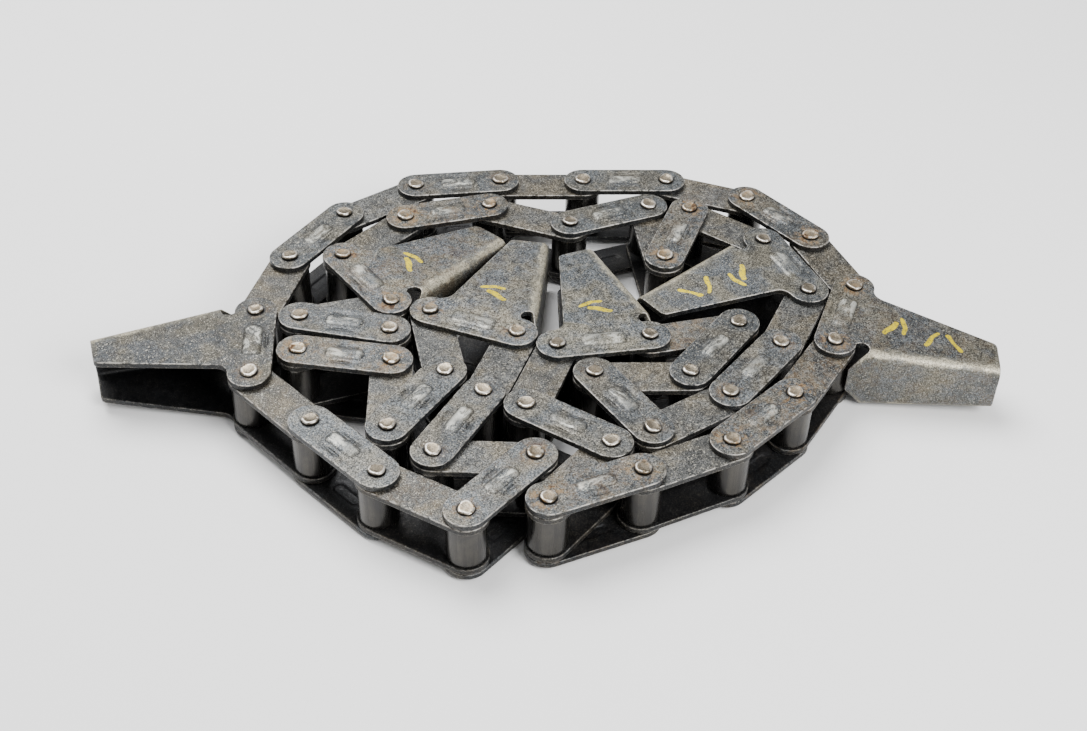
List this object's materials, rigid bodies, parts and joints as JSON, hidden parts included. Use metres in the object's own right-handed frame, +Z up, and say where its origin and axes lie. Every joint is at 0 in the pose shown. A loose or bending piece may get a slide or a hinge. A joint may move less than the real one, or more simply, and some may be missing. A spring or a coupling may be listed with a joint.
{
  "type": "heap of attachment roller chain",
  "caption": "Endless steel roller chain with folded channel lugs, lying on its side in tightly folded loops, riveted pins upright, two lugs reaching out at the ends.",
  "frame": {"origin": "on the floor below the middle of the heap's box", "axes": "+X along the heap's length from the left lug tip to the right one, +Y away from the viewer, +Z up along the pins"},
  "size_m": [0.4006, 0.2484, 0.0341],
  "materials": {
    "outer_plate_steel": "dark oiled steel with worn bright edges and faint brown stains",
    "inner_plate_steel": "dark oiled steel, duller than the outer plates",
    "lug_steel": "dark mottled steel, scraped bright along the fold and the edges",
    "pin_steel": "worn warm grey rivet heads, slightly uneven",
    "roller_steel": "smooth oiled steel with a soft sheen"
  },
  "bodies": {
    "root": {"lug_link_01": "lug_steel", "inner_link_01": "inner_plate_steel", "outer_link_02": "outer_plate_steel", "inner_link_02": "inner_plate_steel", "outer_link_03": "outer_plate_steel", "inner_link_03": "inner_plate_steel", "outer_link_04": "outer_plate_steel", "inner_link_04": "inner_plate_steel", "lug_link_05": "lug_steel", "inner_link_05": "inner_plate_steel", "outer_link_06": "outer_plate_steel", "inner_link_06": "inner_plate_steel", "outer_link_07": "outer_plate_steel", "inner_link_07": "inner_plate_steel", "outer_link_08": "outer_plate_steel", "inner_link_08": "inner_plate_steel", "lug_link_09": "lug_steel", "inner_link_09": "inner_plate_steel", "outer_link_10": "outer_plate_steel", "inner_link_10": "inner_plate_steel", "outer_link_11": "outer_plate_steel", "inner_link_11": "inner_plate_steel", "outer_link_12": "outer_plate_steel", "inner_link_12": "inner_plate_steel", "lug_link_13": "lug_steel", "inner_link_13": "inner_plate_steel", "outer_link_14": "outer_plate_steel", "inner_link_14": "inner_plate_steel", "outer_link_15": "outer_plate_steel", "inner_link_15": "inner_plate_steel", "outer_link_16": "outer_plate_steel", "inner_link_16": "inner_plate_steel", "outer_link_17": "outer_plate_steel", "inner_link_17": "inner_plate_steel", "lug_link_18": "lug_steel", "inner_link_18": "inner_plate_steel", "outer_link_19": "outer_plate_steel", "inner_link_19": "inner_plate_steel", "outer_link_20": "outer_plate_steel", "inner_link_20": "inner_plate_steel", "outer_link_21": "outer_plate_steel", "inner_link_21": "inner_plate_steel", "lug_link_22": "lug_steel", "inner_link_22": "inner_plate_steel", "outer_link_23": "outer_plate_steel", "inner_link_23": "inner_plate_steel", "outer_link_24": "outer_plate_steel", "inner_link_24": "inner_plate_steel", "outer_link_25": "outer_plate_steel", "inner_link_25": "inner_plate_steel"}
  },
  "joints": []
}
